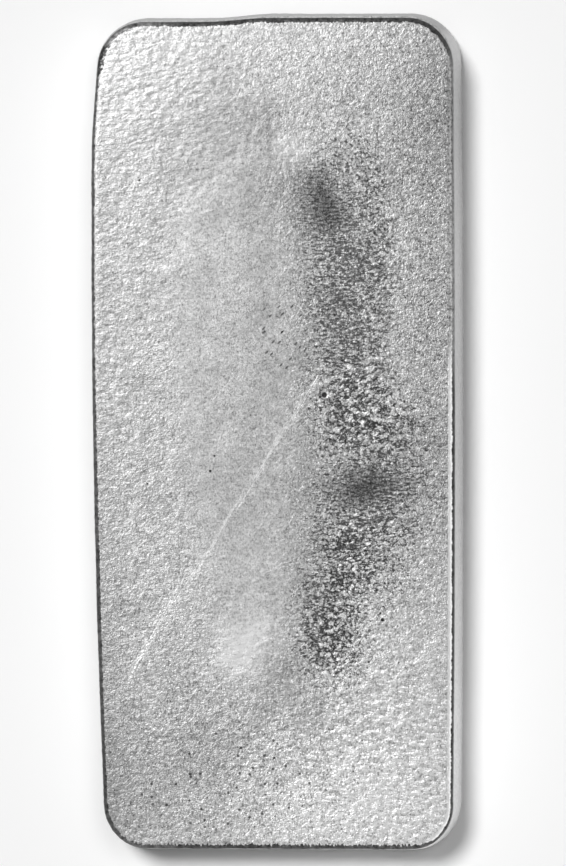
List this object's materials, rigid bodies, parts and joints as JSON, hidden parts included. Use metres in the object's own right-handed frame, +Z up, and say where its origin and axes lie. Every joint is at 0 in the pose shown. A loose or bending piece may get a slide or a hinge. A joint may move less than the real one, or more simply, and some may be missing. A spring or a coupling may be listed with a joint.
{
  "type": "cast silver ingot",
  "caption": "Bare cast ingot of silver: a flat block with drafted walls, rounded corners and a frosted, rippled and pitted face.",
  "frame": {"origin": "middle of the underside, level with the floor the ingot lies on", "axes": "+X across the ingot, +Y along it to the head end, +Z up out of the mould-side face"},
  "size_m": [0.0524, 0.1176, 0.0165],
  "materials": {
    "cast_silver": "bare cast silver, frosted and pebbled, with darker bright-cast grains in a long band on the face"
  },
  "bodies": {
    "root": {"ingot": "cast_silver"}
  },
  "joints": []
}
